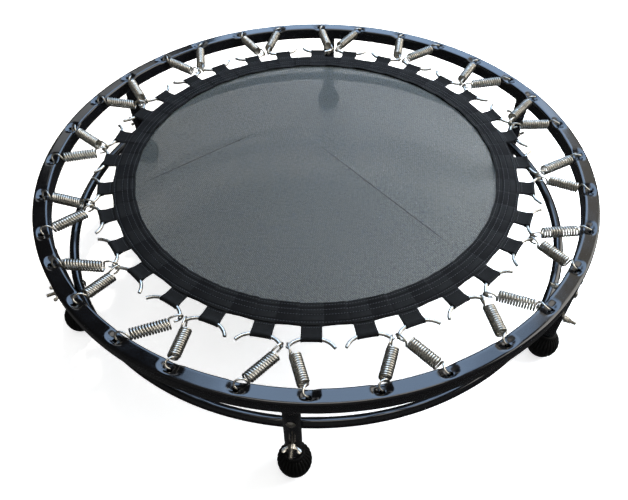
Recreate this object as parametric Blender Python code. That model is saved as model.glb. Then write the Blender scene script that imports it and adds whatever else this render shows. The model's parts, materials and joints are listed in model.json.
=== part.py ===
"""Round mini trampoline: sprung mat in a square-tube ring on six legs with a lower brace hoop."""

import math

import bmesh
import bpy
from mathutils import Matrix, Vector

# All lengths are in metres and all angles in degrees.

# Main ring: two half rings of square steel tube, joined by spigots
HOLE_CIRCLE_RADIUS = 0.465
OVERALL_HEIGHT = 0.218
TUBE_SIZE = 0.025
TUBE_CORNER = 0.004
TUBE_WALL = 0.0015
SPIGOT_ROOT = 0.003
RING_STEPS_PER_HALF = 18

# Hook holes, each in a pressed dimple that pulls the inner top edge down
HOLES_PER_HALF = 16
HOLE_PITCH = 11.43
HOOK_HOLE_RADIUS = 0.0034
DIMPLE_DEPTH = 0.0042
DIMPLE_TILT = 7.0
DIMPLE_LENGTH = 0.030
DIMPLE_FLOOR_LENGTH = 0.015
DIMPLE_OUTER_REACH = 0.0085
DIMPLE_FLOOR_OUTER_REACH = 0.0055
DIMPLE_RUNOUT = 0.0015

# Legs on welded stubs, with a clamping bolt through each
LEG_COUNT = 6
FIRST_LEG_AZIMUTH = 25.6
LEG_TO_SEAM_ANGLE = 1.45
LEG_DIAMETER = 0.025
LEG_BORE_DIAMETER = 0.0226
STUB_LENGTH = 0.055
CLAMP_BOLT_DROP = 0.054

# Lower brace hoop, bolted to the inner faces of the legs
HOOP_DIAMETER = 0.016
HOOP_DROP = 0.115
HOOP_STEPS = 30

# Bolts and wing nuts
BOLT_DIAMETER = 0.006
BOLT_HEAD_DIAMETER = 0.014
BOLT_HEAD_HEIGHT = 0.0034
HEAD_CROWN_SHARE = 0.58
BOLT_OVERHANG = 0.020
CLAMP_BOLT_OVERHANG = 0.014
HEAD_SINK = 0.0005
NUT_HUB_DIAMETER = 0.011
NUT_HUB_TOP_DIAMETER = 0.0097
NUT_HUB_HEIGHT = 0.007
NUT_WING_SPAN = 0.030
NUT_WING_HEIGHT = 0.012
NUT_WING_THICKNESS = 0.0026
NUT_WING_ROOT_HEIGHT = 0.0012
NUT_WING_NECK_HEIGHT = 0.0030
NUT_WING_TIP_HEIGHT = 0.0079
NUT_WING_ROOT_TOP = 0.0063
NUT_WING_NECK_SHARE = 0.66
NUT_WING_CROWN_SHARE = 0.86
NUT_TURNS = (35.0, 80.0, 20.0, 62.0, 84.0, 50.0)

# Rubber feet
FOOT_DIAMETER = 0.052
FOOT_BALL_HEIGHT = 0.027
FOOT_HEIGHT = 0.056
FOOT_SOLE_DIAMETER = 0.026
FOOT_COLLAR_DIAMETER = 0.031
FOOT_FLOOR = 0.010
FOOT_LOWER_SHARE = 0.82
FOOT_LOWER_HEIGHT = 0.0081
FOOT_SHOULDER_SHARE = 0.80
FOOT_SHOULDER_HEIGHT = 0.0437
FOOT_RIBS = 7
FOOT_RIB_DEPTH = 0.0016

# Mat, webbing edge band and tabs
MAT_DROP = 0.012
MAT_THICKNESS = 0.0016
BAND_INNER_RADIUS = 0.314
BAND_OUTER_RADIUS = 0.352
BAND_THICKNESS = 0.0046
BAND_FOLD_DEPTH = 0.018
BAND_STEPS = 32
TAB_WIDTH = 0.027
TAB_REACH = 0.022
TAB_OVERLAP = 0.006
TAB_THICKNESS = 0.0032
HEM_HEIGHT = 0.0078
HEM_LENGTH = 0.012
HEM_SHIFT = 0.001
TAB_APEX_ANGLE = 5.33

# Arc pins through the tab hems
PIN_DIAMETER = 0.0045
PIN_ARC_RADIUS = 0.039
PIN_HALF_ANGLE = 59.0
PIN_POINTS = 5

# Springs
SPRING_PAIRS = 16
COIL_DIAMETER = 0.016
WIRE_DIAMETER = 0.0026
COIL_AXIS_DROP = 0.005
COIL_TURNS = 1.5
POINTS_PER_TURN = 8
HOOK_PIN_ANGLE = 50.0
HOOK_DEPTH = 0.009
HOOK_RISE = 0.0028
EYE_BACKSET = 0.0026

# Gap kept between pieces that touch, and running clearances
CONTACT_GAP = 0.0003
BOLT_CLEARANCE = 0.0003
NUT_CLEARANCE = 0.0003
SPIGOT_CLEARANCE = 0.0003
SPIGOT_END_GAP = 0.0015
HOOK_CLEARANCE = 0.0015

ROUND_SIDES = 10
HEAD_SIDES = 8
BOLT_SIDES = 6
HOOK_HOLE_SIDES = 6
DIMPLE_SIDES = 8

RING_TOP = OVERALL_HEIGHT
RING_BOTTOM = RING_TOP - TUBE_SIZE
SEAM_AZIMUTH = FIRST_LEG_AZIMUTH + LEG_TO_SEAM_ANGLE
HOOP_HEIGHT = RING_TOP - HOOP_DROP
CLAMP_BOLT_HEIGHT = RING_TOP - CLAMP_BOLT_DROP
MAT_HEIGHT = RING_TOP - MAT_DROP
LEG_INNER_FACE = HOLE_CIRCLE_RADIUS - LEG_DIAMETER / 2
LEG_OUTER_FACE = HOLE_CIRCLE_RADIUS + LEG_DIAMETER / 2
HOOP_RADIUS = LEG_INNER_FACE - HOOP_DIAMETER / 2 - CONTACT_GAP
PIN_INNER_RADIUS = BAND_OUTER_RADIUS + TAB_REACH
COIL_RADIUS = (COIL_DIAMETER - WIRE_DIAMETER) / 2
FIRST_HOLE_ANGLE = 90.0 - HOLE_PITCH * (HOLES_PER_HALF - 1) / 2
SPIGOT_LENGTH = (math.radians(FIRST_HOLE_ANGLE) * HOLE_CIRCLE_RADIUS - DIMPLE_LENGTH / 2
                 - 2 * TUBE_WALL - SPIGOT_END_GAP)
PRESS_RISE = 2 * DIMPLE_DEPTH
PRESS_LENGTH = 2 * DIMPLE_LENGTH - DIMPLE_FLOOR_LENGTH
PRESS_OUTER_REACH = 2 * DIMPLE_OUTER_REACH - DIMPLE_FLOOR_OUTER_REACH

for old in list(bpy.data.objects):
    bpy.data.objects.remove(old, do_unlink=True)


def make_collection(name):
    collection = bpy.data.collections.new(name)
    bpy.context.scene.collection.children.link(collection)
    return collection


PARTS = make_collection("mini_trampoline")
CUTTERS = make_collection("cutters")


def make_material(name, color, roughness, metallic):
    material = bpy.data.materials.new(name)
    material.use_nodes = True
    shader = material.node_tree.nodes["Principled BSDF"]
    shader.inputs["Base Color"].default_value = (*color, 1.0)
    shader.inputs["Roughness"].default_value = roughness
    shader.inputs["Metallic"].default_value = metallic
    material.diffuse_color = (*color, 1.0)
    return material


BLACK_PAINT = make_material("gloss_black_paint", (0.012, 0.012, 0.014), 0.22, 0.0)
ZINC_STEEL = make_material("zinc_plated_steel", (0.62, 0.62, 0.60), 0.30, 1.0)
BLACK_RUBBER = make_material("black_rubber", (0.010, 0.010, 0.010), 0.75, 0.0)
MAT_WEAVE = make_material("woven_mat", (0.110, 0.120, 0.125), 0.60, 0.0)
BAND_WEBBING = make_material("black_webbing", (0.018, 0.019, 0.020), 0.80, 0.0)


# Shape helpers

def polar(radius, azimuth, height=0.0):
    angle = math.radians(azimuth)
    return Vector((radius * math.cos(angle), radius * math.sin(angle), height))


def arc_angle(length, radius):
    return math.degrees(length / radius)


def mesh_from_bmesh(name, bm):
    bmesh.ops.recalc_face_normals(bm, faces=bm.faces[:])
    mesh = bpy.data.meshes.new(name)
    bm.to_mesh(mesh)
    bm.free()
    return mesh


def helper_object(name, mesh):
    helper = bpy.data.objects.new(name, mesh)
    helper.hide_render = True
    helper.display_type = "WIRE"
    CUTTERS.objects.link(helper)
    return helper


def bake(helper, name):
    """Return the helper's evaluated mesh and remove the helper."""
    bpy.context.view_layer.update()
    depsgraph = bpy.context.evaluated_depsgraph_get()
    mesh = bpy.data.meshes.new_from_object(helper.evaluated_get(depsgraph))
    mesh.name = name
    bpy.data.objects.remove(helper, do_unlink=True)
    return mesh


def boolean(name, mesh, other, operation):
    """Return mesh joined with or cut by the other mesh."""
    target = helper_object(name, mesh)
    tool = helper_object(name + "_tool", other)
    modifier = target.modifiers.new(operation.lower(), "BOOLEAN")
    modifier.operation = operation
    modifier.solver = "EXACT"
    modifier.object = tool
    result = bake(target, name)
    bpy.data.objects.remove(tool, do_unlink=True)
    return result


def union(name, mesh, other):
    return boolean(name, mesh, other, "UNION")


def cut(name, mesh, other):
    return boolean(name, mesh, other, "DIFFERENCE")


def joined(name, meshes_and_places):
    """Return one mesh that holds a copy of each mesh at its place."""
    bm = bmesh.new()
    for mesh, place in meshes_and_places:
        start = len(bm.verts)
        bm.from_mesh(mesh)
        bm.verts.ensure_lookup_table()
        bmesh.ops.transform(bm, matrix=place, verts=bm.verts[start:])
    return mesh_from_bmesh(name, bm)


def around(name, mesh, azimuths):
    """Return one mesh that holds a copy of the mesh turned to each azimuth."""
    return joined(name, [(mesh, turn_about_z(azimuth)) for azimuth in azimuths])


def rod(name, radius_low, radius_high, low, high, sides):
    """A cylinder or cone along Z, from low to high."""
    bm = bmesh.new()
    place = Matrix.Translation((0.0, 0.0, (low + high) / 2))
    bmesh.ops.create_cone(bm, cap_ends=True, segments=sides, radius1=radius_low,
                          radius2=radius_high, depth=high - low, matrix=place)
    return mesh_from_bmesh(name, bm)


def extruded(bm, face):
    """Extrude one face in place and return the new face with its corners."""
    attached = any(len(edge.link_faces) > 1 for edge in face.edges)
    result = bmesh.ops.extrude_face_region(bm, geom=[face])["geom"]
    corners = [item for item in result if isinstance(item, bmesh.types.BMVert)]
    new_face = [item for item in result if isinstance(item, bmesh.types.BMFace)][0]
    if attached:
        bmesh.ops.delete(bm, geom=[face], context="FACES_ONLY")
    return new_face, corners


def swept_section(name, section, start, end, steps):
    """A closed section of (radius, height) points, swept about Z between two azimuths."""
    bm = bmesh.new()
    corners = [bm.verts.new(polar(radius, start, height)) for radius, height in section]
    face = bm.faces.new(corners)
    geometry = corners + list(face.edges) + [face]
    bmesh.ops.spin(bm, geom=geometry, cent=(0.0, 0.0, 0.0), axis=(0.0, 0.0, 1.0),
                   angle=math.radians(end - start), steps=steps)
    return mesh_from_bmesh(name, bm)


def kept_side(name, mesh, azimuth, side):
    """The closed part of a mesh past (1) or before (-1) an upright plane through the axis."""
    bm = bmesh.new()
    bm.from_mesh(mesh)
    geometry = bm.verts[:] + bm.edges[:] + bm.faces[:]
    bmesh.ops.bisect_plane(bm, geom=geometry, plane_co=(0.0, 0.0, 0.0),
                           plane_no=polar(side, azimuth + 90.0), clear_inner=True)
    bmesh.ops.holes_fill(bm, edges=[edge for edge in bm.edges if edge.is_boundary])
    return mesh_from_bmesh(name, bm)


def turned_ring(name, section, steps):
    """A closed section of (radius, height) points, turned all the way round Z."""
    bm = bmesh.new()
    corners = [bm.verts.new((radius, 0.0, height)) for radius, height in section]
    edges = [bm.edges.new((corners[i], corners[i - 1])) for i in range(len(corners))]
    bmesh.ops.spin(bm, geom=corners + edges, cent=(0.0, 0.0, 0.0), axis=(0.0, 0.0, 1.0),
                   angle=math.tau, steps=steps, use_merge=True)
    return mesh_from_bmesh(name, bm)


def square_section(inset):
    """Outline of the square tube about the hole circle, moved inward, with its cut corners."""
    half = TUBE_SIZE / 2 - inset
    inner = half - (TUBE_CORNER - inset * (2 - math.sqrt(2)))
    middle_height = RING_TOP - TUBE_SIZE / 2
    outline = []
    for radial, vertical in ((1, 1), (-1, 1), (-1, -1), (1, -1)):
        first = (radial * half, vertical * inner)
        second = (radial * inner, vertical * half)
        outline.extend((first, second) if radial * vertical > 0 else (second, first))
    return [(HOLE_CIRCLE_RADIUS + r, middle_height + z) for r, z in outline]


def tube_mesh(name, points, diameter, resolution):
    """A round wire along the points, with closed ends."""
    curve = bpy.data.curves.new(name, "CURVE")
    curve.dimensions = "3D"
    curve.bevel_depth = diameter / 2
    curve.bevel_resolution = resolution
    curve.use_fill_caps = True
    spline = curve.splines.new("POLY")
    spline.points.add(len(points) - 1)
    for spline_point, point in zip(spline.points, points):
        spline_point.co = (*point, 1.0)
    mesh = bake(helper_object(name, curve), name)
    bpy.data.curves.remove(curve)
    bm = bmesh.new()
    bm.from_mesh(mesh)
    bmesh.ops.remove_doubles(bm, verts=bm.verts[:], dist=0.00001)
    return mesh_from_bmesh(name, bm)


def place_part(name, mesh, material, place=Matrix(), smooth_angle=35.0):
    part = bpy.data.objects.new(name, mesh)
    part.matrix_world = place
    PARTS.objects.link(part)
    if not mesh.materials:
        mesh.materials.append(material)
    mesh.shade_smooth()
    mesh.set_sharp_from_angle(angle=math.radians(smooth_angle))
    return part


def turn_about_z(azimuth):
    return Matrix.Rotation(math.radians(azimuth), 4, "Z")


def radial_place(radius, azimuth, height):
    """Frame whose Z points outward along a radius, and whose X points up."""
    outward_up = Matrix(((0, 0, 1, 0), (0, 1, 0, 0), (-1, 0, 0, 0), (0, 0, 0, 1)))
    return turn_about_z(azimuth) @ Matrix.Translation((radius, 0.0, height)) @ outward_up


# Main ring

def hole_azimuths(half):
    """Azimuths of the hook holes in one half ring."""
    first = SEAM_AZIMUTH + 180.0 * half + FIRST_HOLE_ANGLE
    return [first + HOLE_PITCH * i for i in range(HOLES_PER_HALF)]


def press_place():
    """Frame of the press tool: at the dimple's floor below the hook hole, tilted inward."""
    return (Matrix.Translation((HOLE_CIRCLE_RADIUS, 0.0, RING_TOP - DIMPLE_DEPTH))
            @ Matrix.Rotation(math.radians(-DIMPLE_TILT), 4, "Y"))


def dimple_shape():
    """Flat-nosed oval press tool that leaves the dimple and runs out past the inner face."""
    inner_corner = TUBE_SIZE / 2 + DIMPLE_RUNOUT
    half_width = (DIMPLE_FLOOR_OUTER_REACH + inner_corner) / (1 + math.cos(math.tau / DIMPLE_SIDES))
    centre = DIMPLE_FLOOR_OUTER_REACH - half_width
    tool = rod("dimple", 1.0, 1.0, 0.0, PRESS_RISE, DIMPLE_SIDES)
    for vert in tool.vertices:
        above = vert.co.z > PRESS_RISE / 2
        reach = PRESS_OUTER_REACH - centre if above else half_width
        turn = math.atan2(vert.co.x, -vert.co.y)
        vert.co.x = centre + reach * math.cos(turn)
        vert.co.y = math.sin(turn) * (PRESS_LENGTH if above else DIMPLE_FLOOR_LENGTH) / 2
    tool.transform(press_place())
    return tool


def dimple_backing():
    """Wall that bulges down into the tube behind a dimple."""
    low = DIMPLE_FLOOR_LENGTH / 2 + TUBE_WALL
    high = PRESS_LENGTH / 2 + TUBE_WALL
    bm = bmesh.new()
    bmesh.ops.create_cube(bm, size=1.0)
    for vert in bm.verts:
        above = vert.co.z > 0
        vert.co.x = math.copysign(TUBE_SIZE, vert.co.x)
        vert.co.y = math.copysign(high if above else low, vert.co.y)
        vert.co.z = PRESS_RISE if above else -TUBE_WALL
    bmesh.ops.transform(bm, matrix=press_place(), verts=bm.verts[:])
    return mesh_from_bmesh("backing", bm)


def half_ring(half):
    start = SEAM_AZIMUTH + 180.0 * half
    gap = arc_angle(CONTACT_GAP / 2, HOLE_CIRCLE_RADIUS)
    holes = hole_azimuths(half)
    body = swept_section("half_ring", square_section(0.0), start + gap, start + 180.0 - gap,
                         RING_STEPS_PER_HALF)

    facet = 180.0 / RING_STEPS_PER_HALF
    root = arc_angle(SPIGOT_ROOT, HOLE_CIRCLE_RADIUS)
    spigot = swept_section("spigot", square_section(TUBE_WALL + SPIGOT_CLEARANCE), start - facet,
                           start + facet, 2)
    spigot = kept_side("spigot", spigot, start - arc_angle(SPIGOT_LENGTH, HOLE_CIRCLE_RADIUS), 1)
    spigot = kept_side("spigot", spigot, start + root / 2, -1)
    body = union("half_ring", body, spigot)

    bore = swept_section("bore", square_section(TUBE_WALL), start, start + 180.0 + facet,
                         RING_STEPS_PER_HALF + 1)
    bore = kept_side("bore", bore, start + root, 1)
    bore = cut("bore", bore, around("backings", dimple_backing(), holes))
    body = cut("half_ring", body, bore)
    body = cut("half_ring", body, around("dimples", dimple_shape(), holes))

    hole = rod("hook_hole", HOOK_HOLE_RADIUS, HOOK_HOLE_RADIUS, RING_TOP - TUBE_SIZE / 2,
               RING_TOP, HOOK_HOLE_SIDES)
    hole.transform(Matrix.Translation((HOLE_CIRCLE_RADIUS, 0.0, 0.0)))
    body = cut("half_ring", body, around("hook_holes", hole, holes))

    legs = [azimuth for azimuth in leg_azimuths() if (azimuth - start) % 360.0 < 180.0]
    return union("half_ring", body, around("stubs", leg_stub(), legs))


def leg_azimuths():
    return [FIRST_LEG_AZIMUTH + 360.0 / LEG_COUNT * i for i in range(LEG_COUNT)]


def leg_stub():
    """Welded stub below the ring, with the clamping bolt's hole across it."""
    radius = LEG_BORE_DIAMETER / 2 - CONTACT_GAP
    stub = rod("stub", radius, radius, RING_BOTTOM - STUB_LENGTH, RING_BOTTOM + TUBE_WALL / 2,
               ROUND_SIDES)
    stub.transform(Matrix.Translation((HOLE_CIRCLE_RADIUS, 0.0, 0.0)))
    bolt_radius = BOLT_DIAMETER / 2 + BOLT_CLEARANCE
    hole = rod("stub_hole", bolt_radius, bolt_radius, -LEG_DIAMETER, LEG_DIAMETER, BOLT_SIDES)
    hole.transform(radial_place(HOLE_CIRCLE_RADIUS, 0.0, CLAMP_BOLT_HEIGHT))
    return cut("stub", stub, hole)


# Fasteners

def bolt_head(seat, direction):
    """Low domed head whose flat side sits at the seat height along Z."""
    rim = BOLT_HEAD_DIAMETER / 2
    bm = bmesh.new()
    bmesh.ops.create_circle(bm, cap_ends=True, segments=HEAD_SIDES, radius=rim,
                            matrix=Matrix.Translation((0.0, 0.0, seat)))
    crown = extruded(bm, next(iter(bm.faces)))[1]
    for vert in crown:
        vert.co.z = seat + direction * BOLT_HEAD_HEIGHT
        vert.co.xy *= HEAD_CROWN_SHARE
    return mesh_from_bmesh("bolt_head", bm)


def wing_nut(bore_radius):
    """Wing nut along Z with its seat at zero; a zero bore leaves it solid."""
    hub = rod("nut", NUT_HUB_DIAMETER / 2, NUT_HUB_TOP_DIAMETER / 2, 0.0, NUT_HUB_HEIGHT,
              BOLT_SIDES)
    root = NUT_HUB_DIAMETER / 4
    tip = NUT_WING_SPAN / 2
    outline = ((root, NUT_WING_ROOT_HEIGHT), (tip * NUT_WING_NECK_SHARE, NUT_WING_NECK_HEIGHT),
               (tip, NUT_WING_TIP_HEIGHT), (tip * NUT_WING_CROWN_SHARE, NUT_WING_HEIGHT),
               (root, NUT_WING_ROOT_TOP))
    wings = []
    for side in (1, -1):
        bm = bmesh.new()
        low = [bm.verts.new((side * x, -NUT_WING_THICKNESS / 2, z)) for x, z in outline]
        verts = extruded(bm, bm.faces.new(low))[1]
        bmesh.ops.translate(bm, verts=verts, vec=(0.0, NUT_WING_THICKNESS, 0.0))
        wings.append((mesh_from_bmesh("wing", bm), Matrix()))
    nut = union("wing_nut", hub, joined("wings", wings))
    if bore_radius > 0:
        bore = rod("nut_bore", bore_radius, bore_radius, -NUT_HUB_HEIGHT, 2 * NUT_HUB_HEIGHT,
                   BOLT_SIDES)
        nut = cut("wing_nut", nut, bore)
    return nut


# Legs, hoop and feet

def leg():
    """Leg tube about the origin's Z, with the clamping bolt and its nut in place."""
    top = RING_BOTTOM - CONTACT_GAP
    radius = LEG_DIAMETER / 2
    body = rod("leg", radius, radius, FOOT_FLOOR + CONTACT_GAP, top, ROUND_SIDES)
    bore_radius = LEG_BORE_DIAMETER / 2
    bore = rod("leg_bore", bore_radius, bore_radius, -TUBE_SIZE, top + TUBE_SIZE, ROUND_SIDES)
    body = cut("leg", body, bore)
    hole_radius = BOLT_DIAMETER / 2 + BOLT_CLEARANCE
    hole = rod("leg_hole", hole_radius, hole_radius, -LEG_DIAMETER, LEG_DIAMETER, BOLT_SIDES)
    hole.transform(radial_place(0.0, 0.0, HOOP_HEIGHT))
    body = cut("leg", body, hole)

    bolt_radius = BOLT_DIAMETER / 2
    across = radial_place(0.0, 0.0, CLAMP_BOLT_HEIGHT)
    inner_tip = -radius - CLAMP_BOLT_OVERHANG
    shank = rod("clamp_bolt", bolt_radius, bolt_radius, inner_tip, radius, BOLT_SIDES)
    sunk = radius * math.cos(math.pi / ROUND_SIDES) - HEAD_SINK
    head = bolt_head(sunk, 1)
    inward = Matrix.Translation((0.0, 0.0, -sunk)) @ Matrix.Rotation(math.pi, 4, "X")
    fastener = union("clamp_bolt", shank, head)
    nut = joined("clamp_nut", [(wing_nut(0.0), inward)])
    fastener = union("clamp_bolt", fastener, nut)
    fastener.transform(across)
    return union("leg", body, fastener)


def brace_hoop():
    """Round-tube hoop with the six leg bolts through it."""
    radius = HOOP_DIAMETER / 2
    sides = HEAD_SIDES
    section = [(HOOP_RADIUS + radius * math.cos(math.tau * i / sides),
                HOOP_HEIGHT + radius * math.sin(math.tau * i / sides)) for i in range(sides)]
    body = turned_ring("brace_hoop", section, HOOP_STEPS)
    bolt_radius = BOLT_DIAMETER / 2
    seat = HOOP_RADIUS - radius * math.cos(math.pi / sides) + HEAD_SINK
    shank = rod("leg_bolt", bolt_radius, bolt_radius, seat, LEG_OUTER_FACE + BOLT_OVERHANG,
                BOLT_SIDES)
    bolt = union("leg_bolt", shank, bolt_head(seat, -1))
    bolts = joined("leg_bolts", [(bolt, radial_place(0.0, azimuth, HOOP_HEIGHT))
                                 for azimuth in leg_azimuths()])
    return union("brace_hoop", body, bolts)


def rubber_foot():
    """Ball-shaped rubber boot with upright ribs and a pocket for the leg."""
    ball = FOOT_DIAMETER / 2
    sole = FOOT_SOLE_DIAMETER / 2
    collar = FOOT_COLLAR_DIAMETER / 2
    sides = 2 * FOOT_RIBS
    pocket = (LEG_DIAMETER / 2 + CONTACT_GAP) / math.cos(math.pi / sides)
    rings = [
        (ball * FOOT_LOWER_SHARE, FOOT_LOWER_HEIGHT, True),
        (ball, FOOT_BALL_HEIGHT, True),
        (ball * FOOT_SHOULDER_SHARE, FOOT_SHOULDER_HEIGHT, True),
        (collar, FOOT_HEIGHT, False),
        (pocket, FOOT_HEIGHT, False),
        (pocket, FOOT_FLOOR, False),
    ]
    bm = bmesh.new()
    bmesh.ops.create_circle(bm, cap_ends=True, segments=sides, radius=sole)
    face = next(iter(bm.faces))
    for radius, height, ribbed in rings:
        face, verts = extruded(bm, face)
        for vert in verts:
            number = round(math.atan2(vert.co.y, vert.co.x) / math.tau * sides)
            groove = FOOT_RIB_DEPTH if ribbed and number % 2 else 0.0
            vert.co.xy = vert.co.xy.normalized() * (radius - groove)
            vert.co.z = height
    return mesh_from_bmesh("rubber_foot", bm)


# Mat and edge band

def apex_azimuths():
    """Azimuths at which two neighbouring springs meet the mat."""
    step = 360.0 / SPRING_PAIRS
    return [SEAM_AZIMUTH + step / 2 + step * i for i in range(SPRING_PAIRS)]


def mat():
    radius = BAND_INNER_RADIUS + BAND_FOLD_DEPTH - CONTACT_GAP
    low = MAT_HEIGHT - MAT_THICKNESS / 2
    return rod("mat", radius, radius, low, low + MAT_THICKNESS, BAND_STEPS)


def tab():
    """Folded webbing tab with the hem that holds the pin, about azimuth zero."""
    inner = BAND_OUTER_RADIUS - TAB_OVERLAP
    hem = PIN_INNER_RADIUS + HEM_SHIFT
    outline = ((inner, TAB_THICKNESS), (hem, HEM_HEIGHT), (hem + HEM_LENGTH / 2, TAB_THICKNESS))
    bm = bmesh.new()
    upper = [bm.verts.new((r, -TAB_WIDTH / 2, MAT_HEIGHT + t / 2)) for r, t in outline]
    lower = [bm.verts.new((r, -TAB_WIDTH / 2, MAT_HEIGHT - t / 2)) for r, t in outline]
    verts = extruded(bm, bm.faces.new(upper + lower[::-1]))[1]
    bmesh.ops.translate(bm, verts=verts, vec=(0.0, TAB_WIDTH, 0.0))
    return mesh_from_bmesh("tab", bm)


def pin_point(angle):
    """Point on the pin's centre line, about azimuth zero."""
    turn = math.radians(angle)
    radial = PIN_INNER_RADIUS + PIN_ARC_RADIUS * (1 - math.cos(turn))
    return Vector((radial, PIN_ARC_RADIUS * math.sin(turn), MAT_HEIGHT))


def arc_pin():
    step = 2 * PIN_HALF_ANGLE / (PIN_POINTS - 1)
    points = [pin_point(-PIN_HALF_ANGLE + step * i) for i in range(PIN_POINTS)]
    return tube_mesh("arc_pin", points, PIN_DIAMETER, 1)


def edge_band():
    """Webbing folded round the mat's edge, with its tabs and their pins."""
    half = BAND_THICKNESS / 2
    slot = MAT_THICKNESS / 2 + CONTACT_GAP
    fold = BAND_INNER_RADIUS + BAND_FOLD_DEPTH
    section = ((BAND_INNER_RADIUS, MAT_HEIGHT - half), (BAND_OUTER_RADIUS, MAT_HEIGHT - half),
               (BAND_OUTER_RADIUS, MAT_HEIGHT + half), (BAND_INNER_RADIUS, MAT_HEIGHT + half),
               (BAND_INNER_RADIUS, MAT_HEIGHT + slot), (fold, MAT_HEIGHT + slot),
               (fold, MAT_HEIGHT - slot), (BAND_INNER_RADIUS, MAT_HEIGHT - slot))
    body = turned_ring("edge_band", section, BAND_STEPS)
    azimuths = [apex + side * TAB_APEX_ANGLE for apex in apex_azimuths() for side in (-1, 1)]
    body = union("edge_band", body, around("tabs", tab(), azimuths))
    return union("edge_band", body, around("pins", arc_pin(), azimuths))


# Springs

def spring_ends():
    """Hook hole azimuth, apex azimuth and side of every spring."""
    ends = []
    for half in (0, 1):
        for number, azimuth in enumerate(hole_azimuths(half)):
            pair = half * HOLES_PER_HALF // 2 + number // 2
            ends.append((azimuth, apex_azimuths()[pair], -1 if number % 2 == 0 else 1))
    return ends


def spring_points(hole_azimuth, apex_azimuth, side):
    """Centre line of one spring, from the hook in the ring to the hook round the pin."""
    hole = polar(HOLE_CIRCLE_RADIUS, hole_azimuth, RING_TOP)
    place = turn_about_z(apex_azimuth + side * TAB_APEX_ANGLE)
    pin = place @ pin_point(-side * HOOK_PIN_ANGLE)
    along = Vector((pin.x - hole.x, pin.y - hole.y, 0.0))
    length = along.length
    along.normalize()
    across = Vector((-along.y, along.x, 0.0))
    up = Vector((0.0, 0.0, 1.0))

    # The coil's end clears the ring's inner face, whatever the spring's slant
    slant = abs(along.normalized().cross(polar(1.0, hole_azimuth))[2])
    straight = math.sqrt(1 - slant ** 2)
    coil_start = (TUBE_SIZE / 2 + COIL_DIAMETER / 2 * slant + CONTACT_GAP) / straight
    coil_start += WIRE_DIAMETER / 2
    coil_end = length - PIN_DIAMETER / 2 - HOOK_CLEARANCE - 2 * WIRE_DIAMETER

    points = [
        hole - up * HOOK_DEPTH,
        hole + up * HOOK_RISE,
    ]
    count = round(COIL_TURNS * POINTS_PER_TURN)
    for i in range(count + 1):
        share = i / count
        turn = math.tau * COIL_TURNS * share
        axis_height = RING_TOP - COIL_AXIS_DROP + (MAT_HEIGHT - RING_TOP + COIL_AXIS_DROP) * share
        centre = hole + along * (coil_start + (coil_end - coil_start) * share)
        centre.z = axis_height
        points.append(centre + up * COIL_RADIUS * math.cos(turn)
                      + across * COIL_RADIUS * math.sin(turn))

    grip = PIN_DIAMETER / 2 + WIRE_DIAMETER / 2 + HOOK_CLEARANCE
    near = math.copysign(grip, math.cos(math.tau * COIL_TURNS))
    points.append(pin + along * EYE_BACKSET + up * near)
    points.append(pin + along * EYE_BACKSET - up * near)
    return points


def segment_distance(a, b, c, d):
    """Least distance between the segments a-b and c-d."""
    first = b - a
    second = d - c
    offset = a - c
    aa = first.dot(first)
    bb = second.dot(second)
    ab = first.dot(second)
    ao = first.dot(offset)
    bo = second.dot(offset)
    denominator = aa * bb - ab * ab
    s = 0.0
    if denominator > 1e-18:
        s = min(max((ab * bo - bb * ao) / denominator, 0.0), 1.0)
    t = min(max((ab * s + bo) / bb, 0.0), 1.0)
    s = min(max((ab * t - ao) / aa, 0.0), 1.0)
    return (a + first * s - c - second * t).length


def least_self_gap(points):
    """Least clear gap between stretches of wire that are not neighbours."""
    pairs = list(zip(points, points[1:]))
    least = math.inf
    for i, (a, b) in enumerate(pairs):
        for c, d in pairs[i + 2:]:
            least = min(least, segment_distance(a, b, c, d) - WIRE_DIAMETER)
    return least


# Assembly

half_names = ("rear_half_ring", "front_half_ring")
for half, half_name in enumerate(half_names):
    place_part(half_name, half_ring(half), BLACK_PAINT)

leg_mesh = leg()
foot_mesh = rubber_foot()
for number, azimuth in enumerate(leg_azimuths(), start=1):
    standing = turn_about_z(azimuth) @ Matrix.Translation((HOLE_CIRCLE_RADIUS, 0.0, 0.0))
    place_part(f"leg_{number}", leg_mesh, BLACK_PAINT, standing)
    place_part(f"rubber_foot_{number}", foot_mesh, BLACK_RUBBER, standing, 20.0)

place_part("brace_hoop", brace_hoop(), BLACK_PAINT)

nut_mesh = wing_nut((BOLT_DIAMETER / 2 + NUT_CLEARANCE) / math.cos(math.pi / BOLT_SIDES))
for number, azimuth in enumerate(leg_azimuths(), start=1):
    seat = radial_place(LEG_OUTER_FACE + CONTACT_GAP, azimuth, HOOP_HEIGHT)
    turned = seat @ Matrix.Rotation(math.radians(NUT_TURNS[number - 1]), 4, "Z")
    place_part(f"wing_nut_{number}", nut_mesh, ZINC_STEEL, turned)

place_part("jumping_mat", mat(), MAT_WEAVE)
place_part("edge_band", edge_band(), BAND_WEBBING)

gaps = []
for number, (hole_azimuth, apex_azimuth, side) in enumerate(spring_ends(), start=1):
    points = spring_points(hole_azimuth, apex_azimuth, side)
    gaps.append(least_self_gap(points))
    wire = tube_mesh(f"spring_{number:02d}", points, WIRE_DIAMETER, 1)
    place_part(f"spring_{number:02d}", wire, ZINC_STEEL)

print(f"least gap of a spring to itself: {min(gaps) * 1000:.2f} mm over {len(gaps)} springs")
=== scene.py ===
import json
import math
from functools import partial

import bpy
from mathutils import Matrix, Vector


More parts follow.
